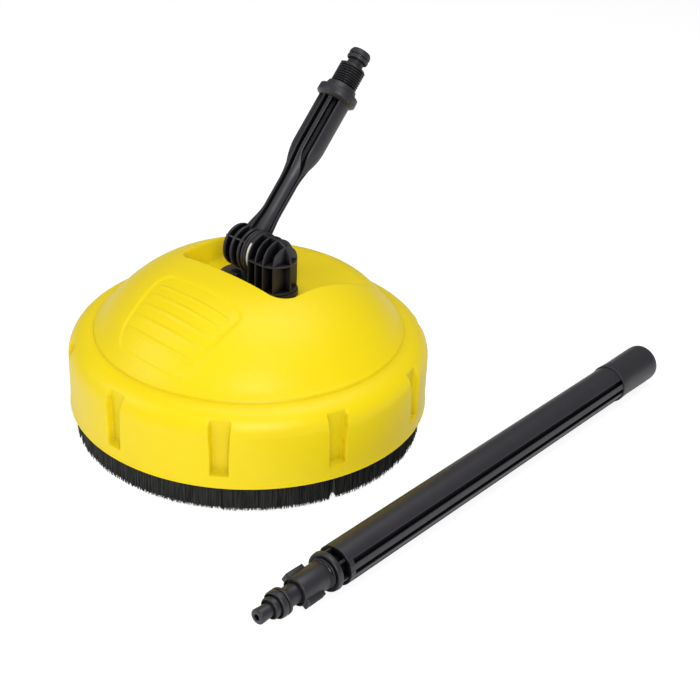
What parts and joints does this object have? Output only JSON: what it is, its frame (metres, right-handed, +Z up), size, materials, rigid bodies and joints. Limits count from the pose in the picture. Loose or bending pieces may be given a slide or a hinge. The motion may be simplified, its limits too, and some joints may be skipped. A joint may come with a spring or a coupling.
{
  "type": "surface cleaner",
  "caption": "Round domed pressure-washer surface cleaner with a skirt of bristles, a spinning spray arm inside, a tilting threaded inlet arm, and a separate extension lance.",
  "frame": {"origin": "on the rotor's axis at the level of the bristle tips, which stand on the floor", "axes": "+Z up along the rotor's axis, -Y the head's front with the ribbed pad, +Y the side the inlet arm leans to, X along the hinge pin"},
  "size_m": [0.3516, 0.467, 0.2734],
  "materials": {
    "housing_yellow": "moulded, satin",
    "moulded_black": "moulded, satin",
    "brush_black": "bristles",
    "stainless": "turned",
    "brass": "turned",
    "nylon_white": "moulded",
    "nitrile": "moulded"
  },
  "bodies": {
    "head": {"dome_housing": "housing_yellow", "brush_carrier": "moulded_black", "brush_ring": "brush_black", "carrier_screws_set": "stainless", "pivot_upright": "moulded_black", "upright_screws": "stainless", "stem_o_ring": "nitrile", "hub_body": "moulded_black", "upper_bearing": "stainless", "lower_bearing": "stainless", "bearing_spacer": "stainless", "shaft_seal": "nitrile", "retaining_ring": "stainless", "hinge_pin": "stainless", "hinge_washer": "nylon_white", "hinge_o_rings": "nitrile", "hinge_clip": "stainless"},
    "rotor": {"rotor_shaft": "stainless", "rotor_arm": "moulded_black", "rotor_nut": "stainless", "nozzle_a": "brass", "nozzle_b": "brass"},
    "arm": {"inlet_arm": "moulded_black", "hinge_cap": "moulded_black", "spigot_o_ring": "nitrile", "inlet_strainer": "stainless"},
    "lance": {"lance_tube": "moulded_black", "lance_pipe": "stainless", "lance_plug": "moulded_black", "plug_o_rings": "nitrile", "lance_socket": "brass", "socket_o_ring": "nitrile"},
    "lance_nut": {"coupling_nut": "moulded_black"}
  },
  "joints": [
    {"name": "arm_tilt", "type": "hinge", "parent": "head", "child": "arm", "pos_m": [0, 0.009, 0.1395], "axis": [1, 0, 0], "range_deg": [-42, 70]},
    {"name": "rotor_spin", "type": "hinge", "parent": "head", "child": "rotor", "pos_m": [0, 0, 0.047], "axis": [0, 0, 1], "continuous": true},
    {"name": "lance_lift", "type": "slide", "parent": "head", "child": "lance", "axis": [0, 0, 1], "range_m": [0, 0.3]},
    {"name": "nut_spin", "type": "hinge", "parent": "lance", "child": "lance_nut", "pos_m": [0.196, 0.25, 0.01565], "axis": [0, 1, 0], "continuous": true}
  ]
}
